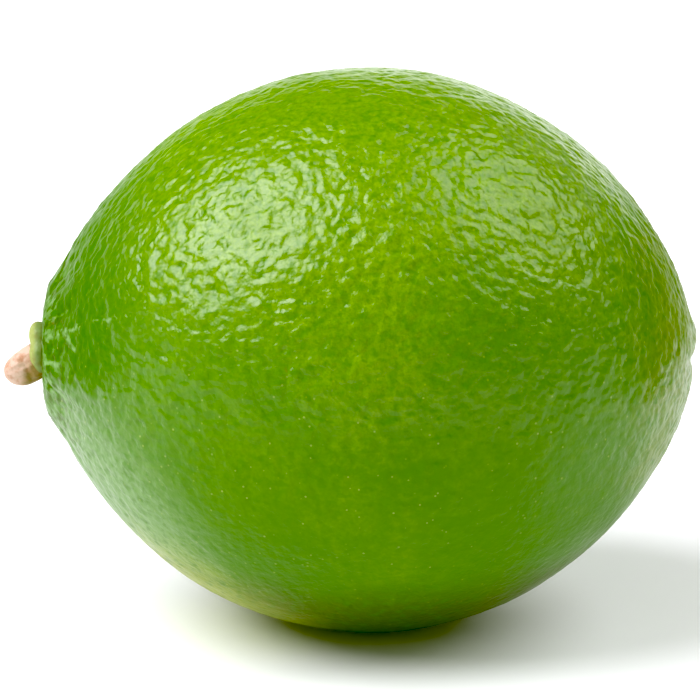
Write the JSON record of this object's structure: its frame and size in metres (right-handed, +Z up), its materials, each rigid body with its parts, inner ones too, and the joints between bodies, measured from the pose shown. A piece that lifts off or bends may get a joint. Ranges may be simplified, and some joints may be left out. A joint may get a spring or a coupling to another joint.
{
  "type": "lime",
  "caption": "Whole ripe green lime lying on its side, with a short ridged neck, a calyx, a stub of stalk and a small flat spot underneath",
  "frame": {"origin": "middle of the whole lime's box, stalk included, on the surface that it rests on", "axes": "+Z up, +X along the fruit's long axis from the stem end to the blossom end, +Y away from the side that the picture shows"},
  "size_m": [0.0626, 0.051, 0.0505],
  "materials": {
    "peel": "waxy, softly glossy green peel with fine oil-gland pores, small pale specks and an olive tint at the blossom end",
    "calyx": "matt dry yellow-green sepals with grey-green edges",
    "stalk": "dry pinkish tan stalk with a yellow-brown patch at its foot"
  },
  "bodies": {
    "root": {"fruit": "peel", "calyx": "calyx", "stem_stub": "stalk"}
  },
  "joints": []
}
